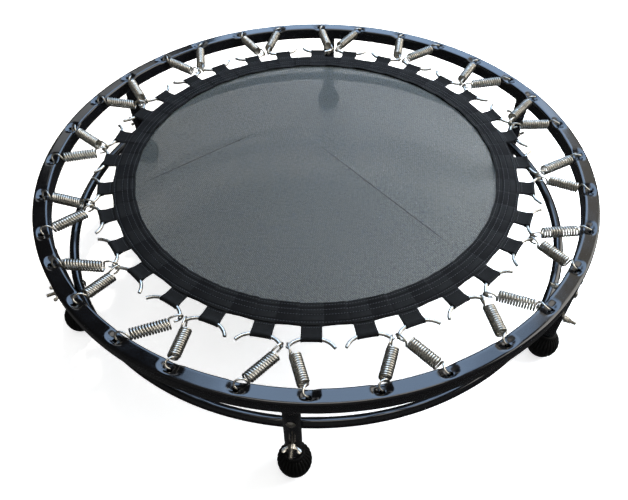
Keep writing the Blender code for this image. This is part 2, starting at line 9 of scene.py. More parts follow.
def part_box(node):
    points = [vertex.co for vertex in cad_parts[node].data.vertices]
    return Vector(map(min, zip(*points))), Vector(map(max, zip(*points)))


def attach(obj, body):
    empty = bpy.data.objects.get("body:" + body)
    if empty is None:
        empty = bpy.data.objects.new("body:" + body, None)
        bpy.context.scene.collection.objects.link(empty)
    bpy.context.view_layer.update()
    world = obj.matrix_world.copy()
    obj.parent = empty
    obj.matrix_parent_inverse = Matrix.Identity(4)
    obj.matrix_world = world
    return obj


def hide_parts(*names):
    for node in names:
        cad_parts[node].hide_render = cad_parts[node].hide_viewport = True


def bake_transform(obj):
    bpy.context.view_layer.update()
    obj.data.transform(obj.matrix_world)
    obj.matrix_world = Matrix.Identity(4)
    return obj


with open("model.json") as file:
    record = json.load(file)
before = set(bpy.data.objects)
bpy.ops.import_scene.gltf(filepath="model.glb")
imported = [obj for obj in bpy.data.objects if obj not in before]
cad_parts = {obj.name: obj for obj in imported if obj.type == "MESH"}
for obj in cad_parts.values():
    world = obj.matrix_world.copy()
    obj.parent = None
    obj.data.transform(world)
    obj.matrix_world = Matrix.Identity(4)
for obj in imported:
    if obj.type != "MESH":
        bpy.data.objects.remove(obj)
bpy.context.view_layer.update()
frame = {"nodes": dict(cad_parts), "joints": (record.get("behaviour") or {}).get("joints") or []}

# Looks of a mini trampoline: sprung mat, square-tube ring on six legs, lower hoop.
# Lengths are in metres and angles in degrees. A name that ends with Mm is in millimetres.

# Places read from the frame
nutJoints = [joint for joint in frame["joints"] if joint["name"].startswith("wing_nut")]
legAngles = [math.degrees(math.atan2(joint["pos_m"][1], joint["pos_m"][0])) % 360
             for joint in nutJoints]
ringRadius = math.hypot(*nutJoints[0]["pos_m"][:2])
hoopHeight = nutJoints[0]["pos_m"][2]
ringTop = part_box("rear_half_ring")[1].z
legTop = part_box("leg_1")[1].z
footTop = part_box("rubber_foot_1")[1].z
matLow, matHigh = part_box("jumping_mat")
matHeight = (matLow.z + matHigh.z) / 2
matRadius = matHigh.x


# Working tools

def deselectAll():
    if bpy.context.object and bpy.context.object.mode != "OBJECT":
        bpy.ops.object.mode_set(mode="OBJECT")
    bpy.ops.object.select_all(action="DESELECT")


def activate(piece):
    deselectAll()
    piece.select_set(True)
    bpy.context.view_layer.objects.active = piece


def openEdit(piece, kind="VERT"):
    activate(piece)
    bpy.ops.object.mode_set(mode="EDIT")
    bpy.ops.mesh.select_mode(type=kind)
    bpy.ops.mesh.select_all(action="SELECT")


def closeEdit():
    bpy.ops.object.mode_set(mode="OBJECT")


def named(piece, name):
    piece.name = name
    piece.data.name = name
    return piece


def remove(*pieces):
    for piece in pieces:
        bpy.data.objects.remove(piece, do_unlink=True)


def applyPlace(piece):
    activate(piece)
    bpy.ops.object.transform_apply(location=True, rotation=True, scale=True)
    return piece


def mergeAndTurnOut(piece):  # doubles go first, then all faces point outwards
    openEdit(piece)
    bpy.ops.mesh.remove_doubles(threshold=0.00001)
    bpy.ops.mesh.normals_make_consistent(inside=False)
    closeEdit()
    return piece


def polar(radius, angle, height=0.0):
    turn = math.radians(angle)
    return Vector((radius * math.cos(turn), radius * math.sin(turn), height))


def polarOf(point):  # the radius and the angle of a point about the Z axis
    return math.hypot(point.x, point.y), math.degrees(math.atan2(point.y, point.x))


def nearestTurn(angle, others):  # the signed turn to this angle from the nearest of the others
    return min(((angle - other + 180) % 360 - 180 for other in others), key=abs)


def scaleAcross(vertex, share):  # towards the Z axis or away from it
    vertex.co.x *= share
    vertex.co.y *= share


def smoothStep(value):
    value = min(max(value, 0.0), 1.0)
    return value * value * (3 - 2 * value)


def turnedBy(angle):
    return Matrix.Rotation(math.radians(angle), 4, "Z")


def boltPlace(radius, angle, height):  # its Z points outward along a radius, its X points down
    outwardDown = Matrix(((0, 0, 1, 0), (0, 1, 0, 0), (-1, 0, 0, 0), (0, 0, 0, 1)))
    return turnedBy(angle) @ Matrix.Translation((radius, 0.0, height)) @ outwardDown


def arcPoints(across, up, radius, start, end, count):
    step = math.radians(end - start) / (count - 1)
    turns = [math.radians(start) + step * i for i in range(count)]
    return [(across + radius * math.cos(turn), up + radius * math.sin(turn)) for turn in turns]


def drawProfile(name, points):  # one vertex, extruded from point to point, in the XZ plane
    places = [Vector((across, 0.0, up)) for across, up in points]
    deselectAll()
    bpy.ops.mesh.primitive_plane_add(size=0.001, location=places[0])
    piece = named(bpy.context.object, name)
    openEdit(piece)
    bpy.ops.mesh.merge(type="CENTER")
    for here, there in zip(places, places[1:]):
        bpy.ops.mesh.extrude_vertices_move(TRANSFORM_OT_translate={"value": there - here})
    closeEdit()
    return applyPlace(piece)


def spinRound(piece, steps, angle):  # sweeps about the Z axis
    openEdit(piece)
    bpy.ops.mesh.spin(steps=steps, angle=angle, center=(0, 0, 0), axis=(0, 0, 1))
    closeEdit()
    return mergeAndTurnOut(piece)


def turnProfile(name, points, steps):  # lathe work
    return spinRound(drawProfile(name, points), steps, math.tau)


def loopOutline(name, points, start=0.0):  # a circle's vertices moved onto a closed outline
    deselectAll()
    bpy.ops.mesh.primitive_circle_add(vertices=len(points), radius=0.01)
    piece = named(bpy.context.object, name)
    for vertex, (across, up) in zip(piece.data.vertices, points):
        vertex.co = polar(across, start, up)
    return piece


def sweepOutline(name, points, start, angle, steps):  # sweeps towards larger angles
    return spinRound(loopOutline(name, points, start), steps, -math.radians(angle))


def addRod(sides, diameter, length, place):  # a cutter, along Z before it is placed
    deselectAll()
    bpy.ops.mesh.primitive_cylinder_add(vertices=sides, radius=diameter / 2, depth=length)
    bpy.context.object.data.transform(place)
    return bpy.context.object


def drawWire(name, points, diameter, rings):  # a bevelled curve, made a mesh with closed ends
    deselectAll()
    bpy.ops.curve.primitive_bezier_curve_add()
    wire = bpy.context.object
    wire.data.splines.clear()
    spline = wire.data.splines.new("POLY")
    spline.points.add(len(points) - 1)
    for place, point in zip(spline.points, points):
        place.co = (*point, 1.0)
    wire.data.dimensions = "3D"
    wire.data.bevel_depth = diameter / 2
    wire.data.bevel_resolution = rings
    wire.data.use_fill_caps = True
    bpy.ops.object.convert(target="MESH")
    return mergeAndTurnOut(named(bpy.context.object, name))


def throughPoints(points, perSpan):  # a smooth curve through the points
    padded = [points[0] * 2 - points[1]] + points + [points[-1] * 2 - points[-2]]
    path = []
    for before, here, there, after in zip(padded, padded[1:], padded[2:], padded[3:]):
        for i in range(perSpan):
            t = i / perSpan
            path.append(0.5 * (2 * here + (there - before) * t
                               + (2 * before - 5 * here + 4 * there - after) * t * t
                               + (3 * here - before - 3 * there + after) * t ** 3))
    return path + [points[-1]]


def applyModifier(piece, kind, **settings):
    activate(piece)
    modifier = piece.modifiers.new(kind.lower(), kind)
    for setting, value in settings.items():
        setattr(modifier, setting, value)
    bpy.ops.object.modifier_apply(modifier=modifier.name)
    return piece


def cutWith(piece, cutter, operation="DIFFERENCE"):
    applyModifier(piece, "BOOLEAN", operation=operation, object=cutter)
    remove(cutter)
    return piece


def joinPieces(pieces, name):
    activate(pieces[0])
    for piece in pieces[1:]:
        piece.select_set(True)
    bpy.ops.object.join()
    return named(bpy.context.object, name)


def copyPiece(piece, name, place):
    activate(piece)
    bpy.ops.object.duplicate()
    copy = named(bpy.context.object, name)
    copy.data.transform(place)
    return copy


def dressPiece(piece, look, smoothAngle, node=""):  # a look is a slot's name, which is not used, and its material
    slotName, material = look
    activate(piece)
    piece.data.materials.clear()
    piece.data.materials.append(material)
    bpy.ops.object.shade_smooth_by_angle(angle=math.radians(smoothAngle))
    if node:
        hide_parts(node)
    return piece


def finishPiece(piece, body, look, smoothAngle, node=""):
    applyPlace(piece)
    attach(piece, body)
    return dressPiece(piece, look, smoothAngle, node)


def repeatPiece(sample, name, places, body, look, smoothAngle, node=""):
    digits = len(str(len(places)))  # in body and node, # stands for the copy's number
    return [finishPiece(copyPiece(sample, f"{name}{number:0{digits}d}", place),
                        body.replace("#", str(number)), look, smoothAngle,
                        node.replace("#", str(number)))
            for number, place in enumerate(places, start=1)]


# Materials

def hexColor(code):
    channels = [int(code[i:i + 2], 16) / 255 for i in (1, 3, 5)]
    linear = [c / 12.92 if c <= 0.04045 else ((c + 0.055) / 1.055) ** 2.4 for c in channels]
    return (*linear, 1.0)


def feed(tree, socket, source):  # a node stands for its first output that is in use
    if isinstance(source, bpy.types.Node):
        source = next(output for output in source.outputs if output.enabled)
    if isinstance(source, bpy.types.NodeSocket):
        tree.links.new(source, socket)
    else:
        socket.default_value = hexColor(source) if isinstance(source, str) else source


def addNode(tree, kind, *sources, **settings):  # the sources go to the inputs in use, in order
    node = tree.nodes.new("ShaderNode" + kind)
    for key, value in settings.items():  # a socket's name has _ for each space
        name = key.replace("_", " ")
        if name in node.inputs:
            feed(tree, node.inputs[name], value)
        else:
            setattr(node, key, value)
    for socket, source in zip([socket for socket in node.inputs if socket.enabled], sources):
        feed(tree, socket, source)
    return node


def feedShader(material, **sources):
    tree = material.node_tree
    for name, source in sources.items():
        feed(tree, tree.nodes["Principled BSDF"].inputs[name.replace("_", " ")], source)
    return material


def newMaterial(name, color, roughness, **sockets):
    material = bpy.data.materials.new(name)
    material.use_nodes = True
    feedShader(material, Base_Color=color, Roughness=roughness, **sockets)
    add = partial(addNode, material.node_tree)
    return material, add, add("TexCoord").outputs["Object"]


def perMetre(millimetres):  # texture scale whose features are this many millimetres apart
    return 1000 / millimetres


# Powder coat, baked gloss black over steel tube: a wet-looking skin with a faint orange peel
paint = {"color": "#060607", "film": "#0b0c0f", "peelMm": 2.2, "handlingMm": 45,
         "roughness": (0.08, 0.20), "coat": 0.35, "coatRoughness": 0.06}


def makePaint():
    low, high = paint["roughness"]
    material, add, place = newMaterial("glossPowderCoat", paint["color"], low, IOR=1.55,
                                       Coat_Weight=paint["coat"],
                                       Coat_Roughness=paint["coatRoughness"])
    peel = add("TexNoise", place, Scale=perMetre(paint["peelMm"]))
    handling = add("TexNoise", place, Scale=perMetre(paint["handlingMm"]), Detail=4.0,
                   Roughness=0.6)
    rough = add("MapRange", handling, From_Min=0.35, From_Max=0.7, To_Min=low, To_Max=high)
    tint = add("Mix", handling, paint["color"], paint["film"], data_type="RGBA")
    bump = add("Bump", Height=peel, Strength=0.12, Distance=0.0001)
    return feedShader(material, Base_Color=tint, Roughness=rough, Normal=bump)


# Zinc-plated steel, drawn wire and castings: bright, with a few darker patches of passivation
zinc = {"bright": "#dcd7cc", "dull": "#9d988d", "patchMm": 6, "grainMm": 0.7,
        "wireRoughness": (0.26, 0.40), "castRoughness": (0.26, 0.42)}


def makeZinc(name, roughness, bumpStrength):
    low, high = roughness
    material, add, place = newMaterial(name, zinc["bright"], low, Metallic=1.0)
    patches = add("TexNoise", place, Scale=perMetre(zinc["patchMm"]), Detail=3.0, Roughness=0.6)
    grain = add("TexNoise", place, Scale=perMetre(zinc["grainMm"]))
    share = add("MapRange", patches, From_Min=0.42, From_Max=0.72)
    rough = add("MapRange", share, To_Min=low, To_Max=high)
    tint = add("Mix", share, zinc["bright"], zinc["dull"], data_type="RGBA")
    bump = add("Bump", Height=grain, Strength=bumpStrength, Distance=0.0001)
    return feedShader(material, Base_Color=tint, Roughness=rough, Normal=bump)


# Natural and SBR rubber, compression moulded: matt black, with dusty patches
rubber = {"color": "#040404", "dust": "#100f0f", "grainMm": 0.9, "dustMm": 12,
          "roughness": (0.48, 0.75), "shine": 0.3}


def makeRubber():
    low, high = rubber["roughness"]
    material, add, place = newMaterial("mouldedRubber", rubber["color"], low,
                                       Specular_IOR_Level=rubber["shine"])
    grain = add("TexNoise", place, Scale=perMetre(rubber["grainMm"]), Detail=4.0)
    dust = add("TexNoise", place, Scale=perMetre(rubber["dustMm"]), Detail=5.0, Roughness=0.7)
    share = add("MapRange", dust, From_Min=0.5, From_Max=0.8, To_Max=0.55)
    tint = add("Mix", share, rubber["color"], rubber["dust"], data_type="RGBA")
    rough = add("MapRange", dust, To_Min=low, To_Max=high)
    bump = add("Bump", Height=grain, Strength=0.35, Distance=0.0002)
    return feedShader(material, Base_Color=tint, Roughness=rough, Normal=bump)


# Woven polypropylene mesh: dark flat tapes with open corners, which let the floor show through.
# The real tapes are about 1.3 mm apart, drawn here at threadMm, so that the weave shows. Each
# tape's crown is painted lighter and its hollows darker, as painted shade.
weave = {"paintedValleyShade": "#141614", "crest": "#474b46", "threadMm": 2.6, "threadAngle": 37.0,
         "wanderMm": 9, "wander": 0.9, "cover": (0.59, 0.90), "roughness": 0.36, "shine": 0.52,
         "patchMm": 120, "speckMm": 4.2, "speck": (0.1, 1.9),
         "paintedCreaseShade": "#050506", "creaseMm": 1.9, "creaseFadeMm": 40}
# Two old fold lines: the mat is raised along them, and painted near black along them as painted
# shade
creases = (((-0.305, -0.060), (-0.103, 0.091)), ((0.001, 0.053), (0.211, -0.209)))


def creaseShare(add, place, ends):  # one near a fold line, zero away from it
    start, end = (Vector((*point, 0.0)) for point in ends)
    along = (end - start).normalized()
    aside = Vector((-along.y, along.x, 0.0))
    halfMm = 500 * (end - start).length
    shares = []
    for axis, near, far in ((aside, 0.2, 0.5 * weave["creaseMm"] + 0.2),
                            (along, halfMm - weave["creaseFadeMm"], halfMm)):
        offset = add("VectorMath", place, (start + end) / 2, operation="SUBTRACT")
        distance = add("VectorMath", offset, axis, operation="DOT_PRODUCT")
        width = add("Math", distance, operation="ABSOLUTE")
        shares.append(add("MapRange", width, From_Min=near / 1000, From_Max=far / 1000, To_Min=1.0,
                          To_Max=0.0))
    return add("Math", *shares, operation="MULTIPLY")


def makeWeave():
    material, add, place = newMaterial("wovenPolypropylene", weave["crest"], weave["roughness"],
                                       Specular_IOR_Level=weave["shine"])
    turned = add("Mapping", place, Rotation=(0.0, 0.0, -math.radians(weave["threadAngle"])),
                 Scale=(math.pi * perMetre(weave["threadMm"]),) * 3)
    wander = add("TexNoise", place, Scale=perMetre(weave["wanderMm"]), Detail=3.0)
    shifted = add("VectorMath", wander.outputs["Color"], (math.pi * weave["wander"],) * 3, turned,
                  operation="MULTIPLY_ADD")
    axes = add("SeparateXYZ", shifted)
    waves = [add("Math", axes.outputs[axis], operation="SINE") for axis in "XY"]
    ridges = [add("Math", wave, operation="ABSOLUTE") for wave in waves]
    over = add("Math", *waves, operation="MULTIPLY")
    warpOnTop = add("Math", over, 0.0, operation="GREATER_THAN")
    crest = add("Mix", warpOnTop, *ridges)
    thick = add("Math", *ridges, operation="MAXIMUM")
    patches = add("TexNoise", place, Scale=perMetre(weave["patchMm"]), Detail=3.0)
    worn = add("MapRange", patches, From_Min=0.3, From_Max=0.7, To_Min=0.8)
    specks = add("TexNoise", place, Scale=perMetre(weave["speckMm"]), Roughness=0.6)
    uneven = add("MapRange", specks, From_Min=0.3, From_Max=0.7, To_Min=weave["speck"][0],
                 To_Max=weave["speck"][1])
    woven = add("Math", crest, uneven, operation="MULTIPLY")
    share = add("Math", woven, worn, operation="MULTIPLY")
    # painted shade: the crowns take the crest colour and the hollows the darker valley colour,
    # mixed with random specks and worn patches
    tint = add("Mix", share, weave["paintedValleyShade"], weave["crest"], data_type="RGBA")
    cover = add("MapRange", thick, From_Min=0.45, To_Min=weave["cover"][0],
                To_Max=weave["cover"][1])
    bump = add("Bump", Height=woven, Strength=0.8, Distance=0.0005)
    # painted shade: along the fold lines the mat is painted near black, made opaque and given full
    # roughness
    folds = [creaseShare(add, place, ends) for ends in creases]
    fold = add("Math", *folds, operation="MAXIMUM")
    folded = add("Mix", fold, tint, weave["paintedCreaseShade"], data_type="RGBA")
    closed = add("Math", fold, cover, operation="MAXIMUM")
    rough = add("MapRange", fold, To_Min=weave["roughness"])
    return feedShader(material, Base_Color=folded, Roughness=rough, Alpha=closed, Normal=bump)


paintLook = "gloss_black_paint", makePaint()
wireLook = "spring_steel", makeZinc("zincPlatedWire", zinc["wireRoughness"], 0.08)
fastenerLook = "zinc_plated_steel", makeZinc("zincPlatedCasting", zinc["castRoughness"], 0.25)
rubberLook = "black_rubber", makeRubber()
weaveLook = "woven_mat", makeWeave()
print("the first materials are made")


# Main ring: two half rings with pressed hook dimples
ring = {"tube": 0.025, "wall": 0.0015, "cornerRadius": 0.0042, "stepsPerHalf": 480,
        "seamPastLeg": 1.45, "seamGap": 0.0003, "holesPerHalf": 16, "holePitch": 11.43,
        "holeDiameter": 0.0078, "punchLength": 0.016, "punchDrop": 0.003,
        "dimpleDepth": 0.0046, "dimpleLength": 0.036, "dimpleOuterReach": 0.0100,
        "dimpleInset": 0.001, "dimpleFloorShare": 0.12, "innerRise": 5.0, "sidePull": 0.013}
seamAngle = legAngles[0] + ring["seamPastLeg"]


def holeAngles(half):
    first = seamAngle + 180 * half + 90 - ring["holePitch"] * (ring["holesPerHalf"] - 1) / 2
    return [first + ring["holePitch"] * i for i in range(ring["holesPerHalf"])]


def roundedSquare():  # more points on the top and the inner side, for the dimples
    rounding = ring["cornerRadius"]
    half = ring["tube"] / 2
    corners = [Vector((ringRadius + right * (half - rounding),
                       ringTop - half + up * (half - rounding)))
               for right, up in ((1, 1), (-1, 1), (-1, -1), (1, -1))]
    points = []
    for number, corner in enumerate(corners):
        start = 90 * number
        points += arcPoints(*corner, rounding, start, start + 90, 6)
        outward = polar(rounding, start + 90).xy
        spans = 9 if number < 2 else 4
        points += [tuple(corner.lerp(corners[(number + 1) % 4], i / spans) + outward)
                   for i in range(1, spans)]
    return points


def pressedDown(along, outward, height):  # how far the press has pushed this point down
    past = max(outward + ring["dimpleInset"], 0.0) / ring["dimpleOuterReach"]
    reach = math.hypot(along / (ring["dimpleLength"] / 2), past)
    fade = 1 - smoothStep((reach - ring["dimpleFloorShare"]) / (1 - ring["dimpleFloorShare"]))
    depth = ring["dimpleDepth"] - max(-outward, 0.0) * math.tan(math.radians(ring["innerRise"]))
    side = smoothStep((height - ringTop + ring["sidePull"]) / ring["sidePull"])
    return depth * fade * side


def halfRing(half, name):
    gap = math.degrees(ring["seamGap"] / ringRadius)
    holes = holeAngles(half)
    piece = sweepOutline(name, roundedSquare(), seamAngle + 180 * half + gap / 2, 180 - gap,
                         ring["stepsPerHalf"])
    for vertex in piece.data.vertices:
        if vertex.co.z >= ringTop - ring["sidePull"]:
            radius, angle = polarOf(vertex.co)
            along = math.radians(nearestTurn(angle, holes)) * ringRadius
            vertex.co.z -= pressedDown(along, radius - ringRadius, vertex.co.z)
    applyModifier(piece, "SOLIDIFY", thickness=ring["wall"], offset=-1.0, use_rim=True)
    punch = addRod(28, ring["holeDiameter"], ring["punchLength"],
                   Matrix.Translation((ringRadius, 0.0, ringTop - ring["punchDrop"])))
    punches = [copyPiece(punch, "hookHole", turnedBy(angle)) for angle in holes]
    remove(punch)
    return cutWith(piece, joinPieces(punches, "hookHoles"))


for half, (name, node) in enumerate((("rearRingTube", "rear_half_ring"),
                                     ("frontRingTube", "front_half_ring"))):
    finishPiece(halfRing(half, name), "frame", paintLook, 40, node)
print("the ring is made")


# Fasteners: domed bolt heads, threaded ends and wing nuts
bolt = {"diameter": 0.006, "headDiameter": 0.0138, "headHeight": 0.0034, "headEdge": 0.0003,
        "threadPitch": 0.001, "threadTurns": 15, "threadDepth": 0.0005, "clampDrop": 0.054,
        "endPastLeg": 0.020, "clampEndPastLeg": 0.014, "clearance": 0.0002}
wingNut = {"hubDiameter": 0.0112, "hubTopDiameter": 0.0092, "hubHeight": 0.0072, "span": 0.028,
           "height": 0.0122, "earRadius": 0.0034, "thickness": 0.0023, "gap": 0.0003,
           "clampTurn": 20, "clampTurnStep": 47}
leg = {"diameter": 0.025, "wall": 0.0012, "bottom": 0.0103, "rim": 0.0008, "weldBelow": 0.0022,
       "weldAbove": 0.0042, "weldSwell": 0.0008, "weldRipple": 0.0002, "weldRipples": 31}
hoop = {"diameter": 0.016, "flatDepth": 0.0008, "flatLength": 0.022, "steps": 288, "sides": 24}
drill = {"diameter": bolt["diameter"] + 2 * bolt["clearance"], "length": 0.04, "sides": 20}
legInside = ringRadius - leg["diameter"] / 2
legOutside = ringRadius + leg["diameter"] / 2
clampHeight = ringTop - bolt["clampDrop"]


def domedBolt(name, end):  # its Z points from the head, seated at zero, to the threaded end
    rim = bolt["headDiameter"] / 2
    crown = bolt["headHeight"]
    curve = (rim ** 2 + crown ** 2) / (2 * crown)
    spread = math.degrees(math.asin(rim / curve))
    shank = bolt["diameter"] / 2
    root = shank - bolt["threadDepth"]
    pitch = bolt["threadPitch"]
    outline = [(0.0, -crown)]
    outline += arcPoints(0.0, curve - crown, curve, 270, 270 + spread * 0.97, 9)[1:]
    outline += [(rim, -bolt["headEdge"]), (rim - bolt["headEdge"], 0.0), (shank, 0.0),
                (shank, end - pitch * (bolt["threadTurns"] + 1))]
    for i in reversed(range(bolt["threadTurns"])):  # rings, which read as a thread at this size
        outline += [(root, end - pitch * (i + 1)), (shank, end - pitch * (i + 0.5))]
    return turnProfile(name, outline + [(root, end), (0.0, end)], 20)


def wingNutPiece(name):  # its Z points outward from the seat, its wings lie along X
    hub = wingNut["hubDiameter"] / 2
    hubTop = wingNut["hubTopDiameter"] / 2
    top = wingNut["hubHeight"]
    bore = bolt["diameter"] / 2
    body = turnProfile(name, [(bore, 0.0), (hub - 0.0004, 0.0), (hub, 0.0004), (hub, 0.0016),
                              (hubTop + 0.0003, top - 0.0006), (hubTop - 0.0004, top), (bore, top),
                              (bore, 0.0)], 32)
    ear = wingNut["earRadius"]
    tip = wingNut["span"] / 2 - ear
    lift = wingNut["height"] - ear
    for side in (1, -1):
        outline = [(side * x, z) for x, z in
                   [(bore + 0.0008, 0.0011), (hub + 0.0008, 0.0016), (tip - 0.0012, 0.0034)]
                   + arcPoints(tip, lift, ear, -60, 150, 11)
                   + [(hub + 0.0012, top - 0.0008), (bore + 0.0008, top - 0.0010)]]
        wing = loopOutline("wing", outline)
        openEdit(wing)
        bpy.ops.mesh.edge_face_add()
        bpy.ops.transform.translate(value=(0.0, -wingNut["thickness"] / 2, 0.0))
        bpy.ops.mesh.extrude_region_move(
            TRANSFORM_OT_translate={"value": (0.0, wingNut["thickness"], 0.0)})
        bpy.ops.mesh.select_all(action="SELECT")
        bpy.ops.mesh.normals_make_consistent(inside=False)
        closeEdit()
        applyModifier(wing, "BEVEL", width=0.0006, segments=2, limit_method="ANGLE")
        cutWith(body, wing, "UNION")
    return applyModifier(body, "BEVEL", width=0.0003, segments=2, limit_method="ANGLE",
                         angle_limit=math.radians(40))


def packedTurn(node, place):  # the turn of a packed wing nut about its bolt
    inward = place.inverted()
    local = [inward @ vertex.co for vertex in frame["nodes"][node].data.vertices]
    tip = max(local, key=lambda point: math.hypot(point.x, point.y))
    return turnedBy(polarOf(tip)[1])


nutSample = wingNutPiece("wingNutSample")
clampSample = domedBolt("clampBoltSample", leg["diameter"] + bolt["clampEndPastLeg"])
hoopBoltSample = domedBolt("hoopBoltSample",
                           hoop["diameter"] + leg["diameter"] + bolt["endPastLeg"])
flip = Matrix.Rotation(math.pi, 4, "X")  # the clamp bolt's head is outside, its nut inside
nutPlaces, clampPlaces, clampNutPlaces, hoopBoltPlaces = [], [], [], []
for number, angle in enumerate(legAngles, start=1):
    seat = boltPlace(legOutside + wingNut["gap"], angle, hoopHeight)
    turn = wingNut["clampTurn"] + wingNut["clampTurnStep"] * number
    nutPlaces.append(seat @ packedTurn(f"wing_nut_{number}", seat))
    clampPlaces.append(boltPlace(legOutside, angle, clampHeight) @ flip)
    clampNutPlaces.append(boltPlace(legInside, angle, clampHeight) @ flip @ turnedBy(turn))
    hoopBoltPlaces.append(boltPlace(legInside - hoop["diameter"], angle, hoopHeight))
repeatPiece(nutSample, "hoopWingNut", nutPlaces, "wing_nut_#", fastenerLook, 40, "wing_nut_#")
repeatPiece(clampSample, "clampBolt", clampPlaces, "frame", fastenerLook, 40)
repeatPiece(nutSample, "clampWingNut", clampNutPlaces, "frame", fastenerLook, 40)
repeatPiece(hoopBoltSample, "hoopBolt", hoopBoltPlaces, "frame", fastenerLook, 40)
remove(nutSample, clampSample, hoopBoltSample)
print("the fasteners are made")


# Legs: round tube with rolled rims and drilled for both bolts
def legTube(name):
    radius = leg["diameter"] / 2
    rim = leg["rim"]
    inside = radius - leg["wall"]
    outline = ([(inside, leg["bottom"]), (radius, leg["bottom"]), (radius, footTop + 0.002),
                (radius, legTop - 0.03)]
               + arcPoints(radius - rim, legTop - rim, rim, 0, 90, 4)
               + [(inside, legTop), (inside, leg["bottom"])])
    tube = turnProfile(name, outline, 48)
    for height in (hoopHeight, clampHeight):
        lying = Matrix.Translation((0.0, 0.0, height)) @ Matrix.Rotation(math.pi / 2, 4, "Y")
        cutWith(tube, addRod(drill["sides"], drill["diameter"], drill["length"], lying))
    return tube


def weldBead(name):  # fills the corner between the leg and the ring's rounded underside
    radius = leg["diameter"] / 2
    swell = leg["weldSwell"]
    low, high = legTop - leg["weldBelow"], legTop + leg["weldAbove"]
    outline = [(radius - 0.0004, low), (radius + 0.0002, low + 0.0003),
               (radius + swell * 0.7, low + 0.0018), (radius + swell, legTop + 0.0008),
               (radius + swell * 0.4, high), (radius - 0.0012, high), (radius - 0.0004, low)]
    bead = turnProfile(name, outline, 96)
    for vertex in bead.data.vertices:
        turn = math.radians(polarOf(vertex.co)[1])
        scaleAcross(vertex, 1 + leg["weldRipple"] * math.sin(leg["weldRipples"] * turn) / radius)
    return bead


standing = [turnedBy(angle) @ Matrix.Translation((ringRadius, 0.0, 0.0)) for angle in legAngles]
legSample = legTube("legSample")
beadSample = weldBead("weldBeadSample")
repeatPiece(legSample, "legTube", standing, "frame", paintLook, 40, "leg_#")
repeatPiece(beadSample, "weldBead", standing, "frame", paintLook, 50)
remove(legSample, beadSample)


# Rubber feet: ball boots with upright ribs, smooth below, a collar round the leg
foot = {"diameter": 0.052, "ballHeight": 0.027, "soleDiameter": 0.026, "soleHollow": 0.0012,
        "collarDiameter": 0.031, "collarHeight": 0.006, "collarRounding": 0.001,
        "pocketFloor": 0.0101, "pocketGap": 0.0001, "ribs": 26, "ribDepth": 0.0023,
        "stepsPerRib": 8, "ribsFrom": 0.014, "ribsTo": 0.055}


def rubberBoot(name):
    ball = foot["diameter"] / 2
    sole = foot["soleDiameter"] / 2
    collar = foot["collarDiameter"] / 2
    pocket = leg["diameter"] / 2 + foot["pocketGap"]
    middle = foot["ballHeight"]
    lowTurn = math.acos(sole / ball)
    lowHalf = middle / math.sin(lowTurn)
    highTurn = math.acos(collar / ball)
    highHalf = (footTop - foot["collarHeight"] - middle) / math.sin(highTurn)
    turns = [lowTurn * (i / 12 - 1) for i in range(12)] + [highTurn * i / 12 for i in range(13)]
    outline = [(0.0, foot["soleHollow"]), (sole * 0.55, foot["soleHollow"]), (sole * 0.6, 0.0),
               (sole - 0.0008, 0.0)]
    outline += [(ball * math.cos(turn),
                 middle + (lowHalf if turn < 0 else highHalf) * math.sin(turn)) for turn in turns]
    rounding = foot["collarRounding"]
    outline += [(collar, footTop - 0.0012)]
    outline += arcPoints(collar - rounding, footTop - rounding, rounding, 0, 90, 4)
    outline += [(pocket, footTop), (pocket, foot["pocketFloor"]), (0.0, foot["pocketFloor"])]
    boot = turnProfile(name, outline, foot["ribs"] * foot["stepsPerRib"])
    for vertex in boot.data.vertices:
        radius, angle = polarOf(vertex.co)
        if radius >= collar * 1.02:
            groove = (1 - abs(math.cos(foot["ribs"] / 2 * math.radians(angle)))) ** 1.2
            shown = (smoothStep((vertex.co.z - foot["ribsFrom"]) / 0.020)
                     * smoothStep((foot["ribsTo"] - vertex.co.z) / 0.004))
            scaleAcross(vertex, 1 - foot["ribDepth"] * groove * shown / radius)
    return boot


footSample = rubberBoot("footSample")
repeatPiece(footSample, "rubberBoot", standing, "frame", rubberLook, 50, "rubber_foot_#")
remove(footSample)
print("the legs and feet are made")


# Lower hoop: round tube, pressed a little flat where the bolts cross it
def braceHoop(name):
    radius = hoop["diameter"] / 2
    centre = legInside - radius - wingNut["gap"]
    outline = arcPoints(centre, hoopHeight, radius, 0, 360 - 360 / hoop["sides"], hoop["sides"])
    tube = sweepOutline(name, outline, 0.0, 360, hoop["steps"])
    for vertex in tube.data.vertices:
        distance, angle = polarOf(vertex.co)
        away = math.radians(abs(nearestTurn(angle, legAngles))) * centre
        near = 1 - smoothStep(away / hoop["flatLength"] - 0.2)
        inward = min(distance - centre, 0.0)
        scaleAcross(vertex, 1 - hoop["flatDepth"] * near * inward / radius / distance)
    drills = [addRod(drill["sides"], drill["diameter"], drill["length"],
                     boltPlace(centre, angle, hoopHeight)) for angle in legAngles]
    return cutWith(tube, joinPieces(drills, "boltHoles"))


finishPiece(braceHoop("lowerHoop"), "frame", paintLook, 40, "brace_hoop")
print("the hoop is made")


# Edge band: webbing folded round the mat, tucked once at each tab, with its rows of stitches
band = {"innerRadius": 0.314, "outerRadius": 0.352, "thickness": 0.0046, "slot": 0.0011,
        "foldRadius": 0.3325, "steps": 1024, "tuckHeight": 0.0018, "tuckShift": 2.6,
        "tuckPitch": 11.2, "tabLift": 0.0007, "edgeWave": 0.0024}
tab = {"width": 0.0296, "reach": 0.0212, "webThickness": 0.0015, "overlap": 0.012,
       "apexAngle": 5.33, "steps": 14}
pin = {"diameter": 0.0052, "straightHalf": 0.008, "bendRadius": 0.0284, "bendAngle": 59.5}
springPairs = 16
firstTuck = seamAngle + 90 / springPairs + band["tuckShift"]
apexAngles = [seamAngle + 360 / springPairs * (k + 0.5) for k in range(springPairs)]
tabAngles = [apex + side * tab["apexAngle"] for apex in apexAngles for side in (-1, 1)]
pinInnerRadius = band["outerRadius"] + tab["reach"]
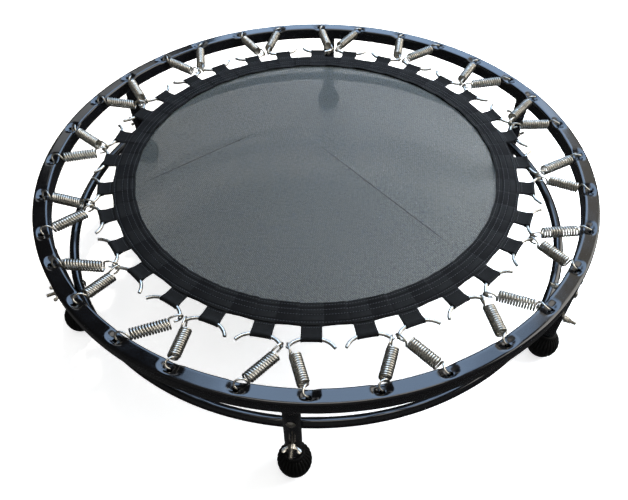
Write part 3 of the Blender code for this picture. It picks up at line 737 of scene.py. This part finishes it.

# Polyester webbing, shuttle woven and sewn: near black, with fine ribs along its length. The worn
# colour is real wear and painted shade too: it is reached on the rib crests and away from the seams
# and tucks.
webbing = {"color": "#050506", "worn": "#25282a", "ribMm": 1.6, "fuzzMm": 1.0, "wearMm": 22,
           "seamMm": 9.4, "seamFromMm": 5.6, "roughness": 0.85, "sheen": 0.01, "shine": 0.14}


def makeWebbing(name, alongRim):
    material, add, place = newMaterial(name, webbing["color"], webbing["roughness"],
                                       Sheen_Weight=webbing["sheen"],
                                       Specular_IOR_Level=webbing["shine"])
    if alongRim:  # ribs run round the mat, so they are counted by radius
        distance = add("VectorMath", place, operation="LENGTH")
    else:  # ribs run along each tab, so they are counted across its own width
        distance = add("SeparateXYZ", add("UVMap", uv_map="webbing"))
    ribs = add("Math", distance, math.tau * perMetre(webbing["ribMm"]), operation="MULTIPLY")
    ribWave = add("Math", ribs, operation="SINE")
    fuzz = add("TexNoise", place, Scale=perMetre(webbing["fuzzMm"]), Detail=4.0)
    wear = add("TexNoise", place, Scale=perMetre(webbing["wearMm"]), Detail=5.0, Roughness=0.65)
    height = add("Math", ribWave, 0.35, fuzz, operation="MULTIPLY_ADD")
    # painted shade: the rib crests are painted lighter and the grooves darker, mixed with random
    # fuzz and real wear
    share = add("Math", height, wear, operation="MULTIPLY")
    if alongRim:  # sewn seams and tucks pull the layers together; painted shade darkens them in lines, and each tucked stretch is painted from dark to light
        firstSeam = band["innerRadius"] + webbing["seamFromMm"] / 1000
        fromSeam = add("Math", distance, firstSeam, operation="SUBTRACT")
        nearSeam = add("Math", fromSeam, webbing["seamMm"] / 2000, operation="PINGPONG")
        seamTuckReliefAndShade = add("MapRange", nearSeam, From_Min=0.0003, From_Max=0.0016)
        axes = add("SeparateXYZ", place)
        turn = add("Math", axes.outputs["Y"], axes.outputs["X"], operation="ARCTAN2")
        fromTuck = add("Math", turn, 2 * springPairs / math.tau,
                       2 * springPairs * (1 - firstTuck / 360), operation="MULTIPLY_ADD")
        tuck = add("Math", fromTuck, operation="FRACT")
        tucked = add("MapRange", tuck, From_Max=0.96, To_Min=0.1, To_Max=1.6)
        seamTuckReliefAndShade = add("Math", seamTuckReliefAndShade, tucked, operation="MULTIPLY")
        share = add("Math", share, seamTuckReliefAndShade, operation="MULTIPLY")
        height = add("Math", seamTuckReliefAndShade, 3.0, height, operation="MULTIPLY_ADD")
    tint = add("Mix", share, webbing["color"], webbing["worn"], data_type="RGBA")
    bump = add("Bump", Height=height, Strength=0.5, Distance=0.0003)
    return feedShader(material, Base_Color=tint, Normal=bump)


# Bonded polyester sewing thread, twisted: black with a slight shine
thread = {"color": "#17181b", "light": "#3a3e42", "twistMm": 1.2, "roughness": 0.45}


def makeThread():
    material, add, place = newMaterial("bondedSewingThread", thread["color"], thread["roughness"])
    twist = add("TexNoise", place, Scale=perMetre(thread["twistMm"]))
    tint = add("Mix", twist, thread["color"], thread["light"], data_type="RGBA")
    return feedShader(material, Base_Color=tint)


bandLook = "black_webbing", makeWebbing("polyesterWebbingBand", True)
tabLook = "black_webbing", makeWebbing("polyesterWebbingTab", False)
threadLook = "black_webbing", makeThread()


def bandLift(angle, radius):  # tucks and tabs lift the band's upper layer
    share = (radius - band["innerRadius"]) / (band["outerRadius"] - band["innerRadius"])
    away = nearestTurn(angle, tabAngles)
    half = math.degrees(tab["width"] / 2 / radius)
    overTab = 1 - smoothStep((abs(away) - half) / 0.5)
    pitch = band["tuckPitch"]
    fromTuck = (away - band["tuckShift"] + pitch / 2) % pitch / pitch
    tuck = smoothStep(fromTuck / 0.85) * (1 - smoothStep((fromTuck - 0.96) / 0.04))
    return (band["tabLift"] * overTab * smoothStep(share * 1.6)
            + band["tuckHeight"] * tuck * (1 - share) ** 0.7)


def edgeBand(name):
    edge = band["thickness"] / 2
    low, high = matHeight - edge, matHeight + edge
    inner, outer, fold = band["innerRadius"], band["outerRadius"], band["foldRadius"]
    slotLow, slotHigh = matHeight - band["slot"], matHeight + band["slot"]
    across = [inner + (outer - edge - inner) * i / 9 for i in range(10)]
    outline = ([(r, high) for r in across] + arcPoints(outer - edge, matHeight, edge, 70, -70, 6)
               + [(r, low) for r in across[::-1]]
               + [(inner, slotLow), (fold, slotLow), (fold, slotHigh), (inner, slotHigh)])
    piece = sweepOutline(name, outline, 0.0, 360, band["steps"])
    for vertex in piece.data.vertices:
        radius, angle = polarOf(vertex.co)
        up = vertex.co.z - matHeight
        if abs(up) > band["slot"] + 0.0001:
            vertex.co.z += math.copysign(bandLift(angle, radius), up)
        wave = band["edgeWave"] * (abs(nearestTurn(angle, tabAngles)) / 6 - 0.5)
        scaleAcross(vertex, 1 + wave * (0.6 if radius < (inner + outer) / 2 else -1.0) / radius)
    return piece


def addStitch(place, size):  # a flat bead of thread, lying along Y
    deselectAll()
    bpy.ops.mesh.primitive_uv_sphere_add(segments=6, ring_count=4, radius=0.5, location=place,
                                         rotation=(math.pi / 2, 0.0, 0.0))
    bpy.context.object.scale = size
    return applyPlace(bpy.context.object)


stitch = {"size": (0.0008, 0.0007, 0.0030), "pitch": 0.0042,
          "rows": (0.3185, 0.3265, 0.3345, 0.3475), "rise": 0.0001,
          "tabSize": (0.0007, 0.0005, 0.0024), "tabPitch": 0.0032, "tabMargin": 0.003}


def stitchRow(radius, side):  # side is 1 on top of the band, -1 below it
    row = addStitch((radius, 0.0, matHeight + side * (band["thickness"] / 2 + stitch["rise"])),
                    stitch["size"])
    count = int(math.tau * radius / stitch["pitch"])
    openEdit(row)
    bpy.ops.mesh.spin(steps=count - 1, angle=math.tau * (count - 1) / count, dupli=True,
                      center=(0, 0, 0), axis=(0, 0, 1))
    closeEdit()
    for vertex in row.data.vertices:
        vertex.co.z += side * bandLift(polarOf(vertex.co)[1], radius)
    return row


rows = [stitchRow(radius, side) for radius in stitch["rows"] for side in (1, -1)]
onMat = [finishPiece(edgeBand("edgeBandWebbing"), "mat", bandLook, 50, "edge_band"),
         finishPiece(joinPieces(rows, "bandStitches"), "mat", threadLook, 60)]
print("the edge band is made")


def pinPoint(angle, side):  # on one bent end of the pin's centre line, about azimuth zero
    turn = math.radians(angle)
    return Vector((pinInnerRadius + pin["bendRadius"] * (1 - math.cos(turn)),
                   side * (pin["straightHalf"] + pin["bendRadius"] * math.sin(turn)), matHeight))


def arcPin(name):
    turns = [pin["bendAngle"] * i / 12 for i in range(13)]
    points = [pinPoint(turn, -1) for turn in turns[::-1]] + [pinPoint(turn, 1) for turn in turns]
    return drawWire(name, points, pin["diameter"], 4)


def tabLoop(name):  # webbing passed round the pin, both ends under the band
    thick = tab["webThickness"]
    around = pin["diameter"] / 2 + thick / 2 + 0.0001
    outer = band["outerRadius"]
    inner, nearPin = outer - tab["overlap"], pinInnerRadius - 0.009
    path = [(inner, matHeight + thick * 0.55), (outer, matHeight + thick * 0.55),
            (nearPin, matHeight + thick * 0.60)]
    path += arcPoints(pinInnerRadius, matHeight, around, 125, -125, 15)
    path += [(nearPin, matHeight - thick * 0.60), (outer, matHeight - thick * 0.55),
             (inner, matHeight - thick * 0.55)]
    lengths = [0.0]
    for here, there in zip(path, path[1:]):
        lengths.append(lengths[-1] + math.dist(here, there))
    piece = drawProfile(name, path)
    openEdit(piece, "EDGE")
    bpy.ops.transform.translate(value=(0.0, -tab["width"] / 2, 0.0))
    for _ in range(tab["steps"]):
        bpy.ops.mesh.extrude_edges_move(
            TRANSFORM_OT_translate={"value": (0.0, tab["width"] / tab["steps"], 0.0)})
    closeEdit()
    mergeAndTurnOut(piece)
    uv = piece.data.uv_layers.new(name="webbing")
    for corner in piece.data.loops:
        point = piece.data.vertices[corner.vertex_index].co
        nearest = min(range(len(path)), key=lambda i: math.dist((point.x, point.z), path[i]))
        uv.data[corner.index].uv = (point.y, lengths[nearest])
    for vertex in piece.data.vertices:  # the hem follows the pin's arc
        share = smoothStep((vertex.co.x - outer) / (tab["reach"] * 0.7))
        bent = max(abs(vertex.co.y) - pin["straightHalf"], 0.0)
        vertex.co.x += (pin["bendRadius"] - math.sqrt(pin["bendRadius"] ** 2 - bent ** 2)) * share
    applyModifier(piece, "SOLIDIFY", thickness=thick, offset=0.0, use_rim=True)
    return applyModifier(piece, "BEVEL", width=0.0003, segments=1, limit_method="ANGLE",
                         angle_limit=math.radians(60))


def tabStitches(name):  # two sewn rows on each side, near the band and beside the pin
    half = tab["width"] / 2 - stitch["tabMargin"]
    count = int(2 * half / stitch["tabPitch"])
    return joinPieces([addStitch((across, half * ((2 * i + 1) / count - 1),
                                  matHeight + side * tab["webThickness"] * 1.15),
                                 stitch["tabSize"])
                       for side in (1, -1)
                       for across in (band["outerRadius"] + 0.0035, pinInnerRadius - 0.0068)
                       for i in range(count)], name)


tabSample = tabLoop("tabSample")
pinSample = arcPin("pinSample")
sewnSample = tabStitches("tabStitchSample")
tabPlaces = [turnedBy(angle) for angle in tabAngles]
onMat += repeatPiece(tabSample, "webbingTab", tabPlaces, "mat", tabLook, 45)
onMat += repeatPiece(sewnSample, "tabStitches", tabPlaces, "mat", threadLook, 60)
repeatPiece(pinSample, "arcPin", tabPlaces, "mat", wireLook, 40)
remove(tabSample, pinSample, sewnSample)
print("the tabs and pins are made")


# Jumping mat: one taut disc with two old fold creases across it
mat = {"rings": 44, "steps": 192, "thickness": 0.0009, "creaseHeight": 0.0006,
       "creaseWidth": 0.004, "creaseFade": 0.05, "swell": 0.00036, "flatFrom": 0.27,
       "flatWidth": 0.04}


def creaseLift(x, y):
    lift = 0.0
    fade = mat["creaseFade"]
    for (x1, y1), (x2, y2) in creases:
        length = math.hypot(x2 - x1, y2 - y1)
        along = ((x - x1) * (x2 - x1) + (y - y1) * (y2 - y1)) / length
        aside = ((y - y1) * (x2 - x1) - (x - x1) * (y2 - y1)) / length
        ends = smoothStep((along + fade) / fade) * smoothStep((length + fade - along) / fade)
        lift += mat["creaseHeight"] * ends * math.exp(-(aside / mat["creaseWidth"]) ** 2)
    return lift


def jumpingMat(name):
    points = [(matRadius * i / mat["rings"], matHeight) for i in range(mat["rings"] + 1)]
    piece = turnProfile(name, points, mat["steps"])
    if piece.data.polygons[0].normal.z < 0:
        openEdit(piece)
        bpy.ops.mesh.flip_normals()
        closeEdit()
    for vertex in piece.data.vertices:
        x, y = vertex.co.x, vertex.co.y
        inside = 1 - smoothStep((math.hypot(x, y) - mat["flatFrom"]) / mat["flatWidth"])
        swell = math.sin(x * 19 + 0.6) * math.cos(y * 16 - 0.4) + 0.5 * math.sin(x * 31 + y * 23)
        vertex.co.z += (creaseLift(x, y) + mat["swell"] * swell) * inside
    return applyModifier(piece, "SOLIDIFY", thickness=mat["thickness"], offset=0.0, use_rim=True)


matPiece = finishPiece(jumpingMat("wovenMat"), "mat", weaveLook, 60, "jumping_mat")
print("the mat is made")


# Springs: extension springs, hooked in the ring's holes and round the pins. The points of the
# hook and the eye are millimetres along the spring, to its left and above the ring top or the pin.
spring = {"diameter": 0.018, "wire": 0.0030, "turns": 13.597, "pointsPerTurn": 26,
          "startRoll": 100, "coilStart": 0.0200, "neck": 0.0155, "axisDrop": 0.005,
          "endShift": 0.004, "pinAngle": 53, "rings": 2,
          "hook": ((2.2, -0.4, -6.6), (1.7, 0.8, -3.6), (1.7, 3.6, -0.4), (3.6, 5.6, 2.2),
                   (7.2, 5.2, 4.0), (11.2, 2.4, 4.7), (14.8, -1.6, 3.6), (17.6, -5.2, 0.2)),
          "eye": ((-11.0, 1.0, 5.9), (-6.0, 0.6, 6.0), (-1.2, 0.2, 5.2), (2.4, 0.0, 3.1),
                  (4.05, 0.0, 0.0), (2.6, -0.2, -3.0), (-1.0, -0.6, -4.7), (-5.5, -1.0, -4.5),
                  (-9.5, -1.4, -3.0))}


def springEnds():  # each spring's hole, the apex that its pair shares, and its side of it
    return [(angle, apexAngles[half * springPairs // 2 + number // 2], -1 if number % 2 == 0 else 1)
            for half in (0, 1) for number, angle in enumerate(holeAngles(half))]


def relaxed(points, start, end, rounds):  # rounds off the bends between hook and coil
    for _ in range(rounds):
        points = [(points[i - 1] + points[i] * 2 + points[i + 1]) / 4 if start <= i < end else point
                  for i, point in enumerate(points)]
    return points


def springPath(holeAngle, apexAngle, side):
    hole = polar(ringRadius, holeAngle, ringTop)
    onPin = turnedBy(apexAngle + side * tab["apexAngle"]) @ pinPoint(spring["pinAngle"], -side)
    along = Vector((onPin.x - hole.x, onPin.y - hole.y, 0.0))
    length = along.length
    along.normalize()
    across = Vector((-along.y, along.x, 0.0))
    coil = (spring["diameter"] - spring["wire"]) / 2
    coilLength = length - spring["neck"] - spring["coilStart"]
    axisTop = ringTop - spring["axisDrop"]

    def place(distance, aside, height):
        return Vector((hole.x, hole.y, height)) + along * distance + across * aside

    def bentEnd(points, start, level):
        return throughPoints([place(start + x / 1000, y / 1000, level + z / 1000)
                              for x, y, z in points], 4)

    body = []
    count = round(spring["turns"] * spring["pointsPerTurn"])
    for i in range(count + 1):
        share = i / count
        turn = math.radians(spring["startRoll"]) + math.tau * spring["turns"] * share
        body.append(place(spring["coilStart"] + coilLength * share,
                          -coil * math.sin(turn) - spring["endShift"] * share,
                          axisTop + (matHeight - axisTop) * share + coil * math.cos(turn)))
    hook = bentEnd(spring["hook"], 0.0, ringTop)
    eye = bentEnd(spring["eye"], length, matHeight)
    first, second = len(hook), len(hook) + len(body)
    points = relaxed(hook + body + eye, first - 4, first + 5, 8)
    return relaxed(points, second - 5, second + 4, 8), hole, onPin


for number, (holeAngle, apexAngle, side) in enumerate(springEnds(), start=1):
    points, hole, onPin = springPath(holeAngle, apexAngle, side)
    wire = drawWire(f"hookSpring{number:02d}", points, spring["wire"], spring["rings"])
    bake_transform(wire)
    dressPiece(wire, wireLook, 50, f"spring_{number:02d}")
print("the springs are made")


# Studio: pale floor and wall, dark surroundings, a sky-blue panel for the gloss, key light behind
studio = {"floor": "#f8f8f7", "floorPatch": "#f4f4f3", "mottleMm": 400, "floorGlow": 0.72,
          "floorSize": 16, "wall": "#fafafa", "wallRadius": 7.5, "wallHeight": 9.0, "horizon": 0.03,
          "below": 0.03, "zenith": 0.5, "behindCamera": 0.13, "sky": "#a9c6ea"}


def makeFloor():
    material, add, place = newMaterial("paintedStudioFloor", studio["floor"], 0.7,
                                       Emission_Strength=studio["floorGlow"])
    mottle = add("TexNoise", place, Scale=perMetre(studio["mottleMm"]))
    tint = add("Mix", mottle, studio["floor"], studio["floorPatch"], data_type="RGBA")
    deselectAll()
    bpy.ops.mesh.primitive_plane_add(size=studio["floorSize"], location=(0.0, 0.0, -0.0002))
    floor = applyPlace(named(bpy.context.object, "studioFloor"))
    floor.data.materials.append(feedShader(material, Base_Color=tint))
    floor.visible_glossy = False  # keeps the gloss black dark, as against a dark lawn


def makeBackdrop():  # a pale round wall, which lights nothing and shows in no reflection
    material = newMaterial("paintedStudioWall", "#000000", 1.0, Emission_Color=studio["wall"],
                           Emission_Strength=1.0, Specular_IOR_Level=0.0)[0]
    height = studio["wallHeight"]
    deselectAll()
    bpy.ops.mesh.primitive_cylinder_add(vertices=96, radius=studio["wallRadius"], depth=height,
                                        end_fill_type="NOTHING",
                                        location=(0.0, 0.0, height / 2 - 0.1))
    wall = applyPlace(named(bpy.context.object, "studioWall"))
    wall.data.materials.append(material)
    for ray in ("diffuse", "glossy", "transmission", "shadow"):
        setattr(wall, "visible_" + ray, False)


def makeSurroundings():  # dark, a little brighter overhead and behind the camera
    world = bpy.data.worlds.new("studioSurroundings")
    world.use_nodes = True
    tree = world.node_tree
    axes = addNode(tree, "SeparateXYZ", addNode(tree, "TexCoord").outputs["Generated"])
    sky = addNode(tree, "MapRange", axes.outputs["Z"], From_Min=0.88, To_Min=studio["horizon"],
                  To_Max=studio["zenith"])
    above = addNode(tree, "MapRange", axes.outputs["Z"], From_Min=-0.15, From_Max=0.1)
    behind = addNode(tree, "MapRange", axes.outputs["Y"], From_Min=-0.1, From_Max=-0.8,
                     To_Max=studio["behindCamera"])
    total = addNode(tree, "Math", sky, behind, operation="ADD")
    light = addNode(tree, "Mix", above, studio["below"], total)
    feed(tree, tree.nodes["Background"].inputs["Color"], light)
    bpy.context.scene.world = world


def skyPlace(angle, height, distance):  # a place in the sky, seen from the mat
    return polar(distance * math.cos(math.radians(height)), angle,
                 distance * math.sin(math.radians(height)) + ringTop)


# Each light's place, target, size, power and colour, and whether it lights surfaces (diffuse)
# or shows in their gloss (glossy)
middle = (0, -0.1, ringTop)
lights = {
    "keyLight": (skyPlace(89, 47, 3.0), (0, 0, ringTop), (0.16, 0.16), 76, "#fff6ea", "diffuse"),
    "fillPanel": ((0, 0, 4.5), (0, 0, 0), (6, 6), 75, "#ffffff", "diffuse"),
    "sidePanel": ((1.0, 0.1, 0.62), (0, 0.1, 0.1), (0.8, 0.5), 30, "#eaf2fd", "diffuse"),
    "hazePanel": (skyPlace(80, 48, 3.2), middle, (2.5, 3.9), 125, studio["sky"], "glossy"),
    "skyPanel": (skyPlace(82, 58, 3.2), middle, (1.8, 2.4), 18, studio["sky"], "glossy"),
    "rightPanel": (skyPlace(5, 27, 3.0), middle, (2.6, 2.8), 75, "#f3f0ea", "glossy"),
    "wallPanel": (skyPlace(48, 38, 3.1), middle, (1.2, 1.5), 7, "#c9c2b4", "glossy"),
    "leftPanel": (skyPlace(117, 32, 3.2), middle, (1.0, 0.7), 2.5, "#eef2f6", "glossy"),
    "topPanel": ((0.2, -0.65, 3.2), (0, -0.2, ringTop), (2.4, 1.3), 22, "#fffaf2", "glossy")}


def addPanel(name, place, target, size, power, color, shows):
    deselectAll()
    bpy.ops.object.light_add(type="AREA", location=place)
    panel = named(bpy.context.object, name)
    panel.rotation_euler = (Vector(target) - Vector(place)).to_track_quat("-Z", "Y").to_euler()
    panel.data.shape = "RECTANGLE"
    panel.data.size, panel.data.size_y = size
    panel.data.energy = power
    panel.data.color = hexColor(color)[:3]
    panel.visible_diffuse = shows == "diffuse"
    panel.visible_glossy = shows == "glossy"


makeFloor()
makeBackdrop()
makeSurroundings()
for name, settings in lights.items():
    addPanel(name, *settings)
bpy.context.scene.view_settings.view_transform = "Standard"
print("the studio is made")

# Camera at the photograph's viewing angle
view = {"place": (-0.0041, -0.8240, 0.888), "tilt": 41.97, "roll": -0.55, "lens": 34.19}
deselectAll()
bpy.ops.object.camera_add(location=view["place"])
camera = named(bpy.context.object, "photoCamera")
camera.matrix_world = (Matrix.Translation(view["place"])
                       @ Matrix.Rotation(math.radians(view["tilt"]), 4, "X")
                       @ Matrix.Rotation(math.radians(view["roll"]), 4, "Z"))
camera.data.lens = view["lens"]
camera.data.sensor_width = 36.0
bpy.context.scene.camera = camera
